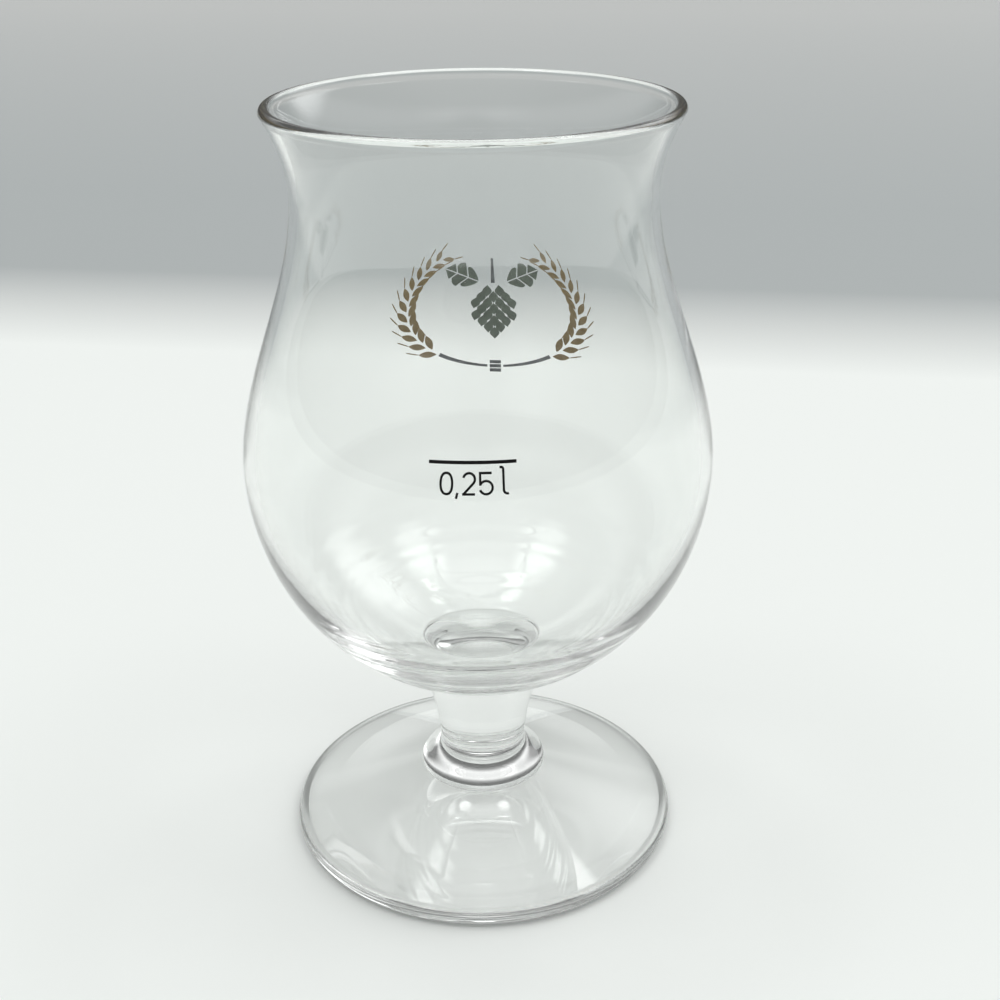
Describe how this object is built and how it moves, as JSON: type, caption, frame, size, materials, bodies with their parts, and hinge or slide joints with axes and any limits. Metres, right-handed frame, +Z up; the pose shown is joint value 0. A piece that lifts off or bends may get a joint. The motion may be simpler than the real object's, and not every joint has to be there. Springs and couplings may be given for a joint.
{
  "type": "tulip beer glass",
  "caption": "Stemmed tulip beer glass with a round belly, narrow waist, flared rim, short solid stem and disc foot, with enamel fill mark and wreath.",
  "frame": {"origin": "middle of the face that the foot stands on", "axes": "+Z up along the axis of the glass; the capacity mark faces -Y and the wreath faces +Y"},
  "size_m": [0.089, 0.0893, 0.148],
  "materials": {
    "clear_glass": "fire-polished clear soda-lime glass with a faint green tint",
    "black_enamel": "fired-on black enamel, soft gloss",
    "sage_enamel": "fired-on sage green enamel, soft gloss",
    "ochre_enamel": "fired-on ochre enamel, soft gloss",
    "slate_enamel": "fired-on slate grey enamel, soft gloss"
  },
  "bodies": {
    "root": {"foot": "clear_glass", "foot_collar": "clear_glass", "stem": "clear_glass", "bowl": "clear_glass", "fill_line": "black_enamel", "figure_zero": "black_enamel", "decimal_comma": "black_enamel", "figure_two": "black_enamel", "figure_five": "black_enamel", "litre_sign": "black_enamel", "barley_ear_right": "ochre_enamel", "barley_ear_left": "ochre_enamel", "barley_stalk_right": "slate_enamel", "barley_stalk_left": "slate_enamel", "wreath_tie": "slate_enamel", "hop_cone": "sage_enamel", "hop_leaf_right": "sage_enamel", "hop_leaf_left": "sage_enamel", "hop_stalk": "slate_enamel"}
  },
  "joints": []
}
